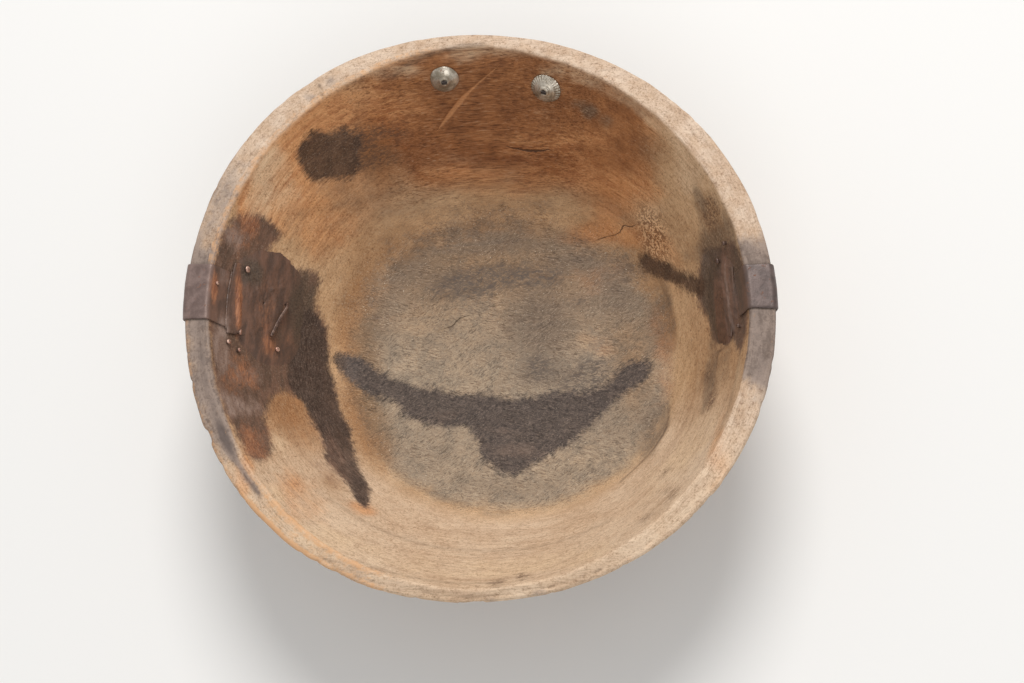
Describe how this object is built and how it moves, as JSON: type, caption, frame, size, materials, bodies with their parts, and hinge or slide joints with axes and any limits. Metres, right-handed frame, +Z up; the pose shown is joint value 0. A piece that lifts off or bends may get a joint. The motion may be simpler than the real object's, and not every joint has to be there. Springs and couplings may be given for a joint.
{
  "type": "carved wooden bowl",
  "caption": "Round hand-carved wooden bowl, mended with iron rim straps, nailed patches and pitch, with washers below the rim and a swinging drop handle.",
  "frame": {"origin": "middle of the flat foot, on the surface that the bowl stands on", "axes": "+Z up out of the mouth, +Y towards the handle's side of the rim, +X towards the narrower rim strap"},
  "size_m": [0.4004, 0.3989, 0.1315],
  "materials": {
    "worn_wood": "worn, dry, stained",
    "strap_iron": "dark patina",
    "rusty_iron": "rusted",
    "pitch": "glossy, uneven",
    "silvered_metal": "dull silver",
    "forged_iron": "forged, dark",
    "nail_iron": "worn bright on the points"
  },
  "bodies": {
    "bowl": {"bowl": "worn_wood", "left_rim_strap": "strap_iron", "right_rim_strap": "strap_iron", "left_patch_plate": "rusty_iron", "right_patch_plate": "rusty_iron", "left_pitch_seal": "pitch", "right_pitch_seal": "pitch", "left_rosette": "silvered_metal", "right_rosette": "silvered_metal", "left_split_pin": "forged_iron", "right_split_pin": "forged_iron", "left_strap_nail": "nail_iron", "left_clinched_nail": "nail_iron", "left_patch_nail_1": "nail_iron", "left_patch_nail_2": "nail_iron", "left_patch_nail_3": "nail_iron", "left_patch_nail_4": "nail_iron", "left_patch_nail_5": "nail_iron", "right_patch_nail_1": "nail_iron", "right_patch_nail_2": "nail_iron", "right_patch_nail_3": "nail_iron"},
    "handle": {"bail_handle": "forged_iron"}
  },
  "joints": [
    {"name": "handle_swing", "type": "hinge", "parent": "bowl", "child": "handle", "pos_m": [0.01501, 0.18712, 0.09802], "axis": [0.9891, -0.1438, -0.0324], "range_deg": [-30, 160]}
  ]
}
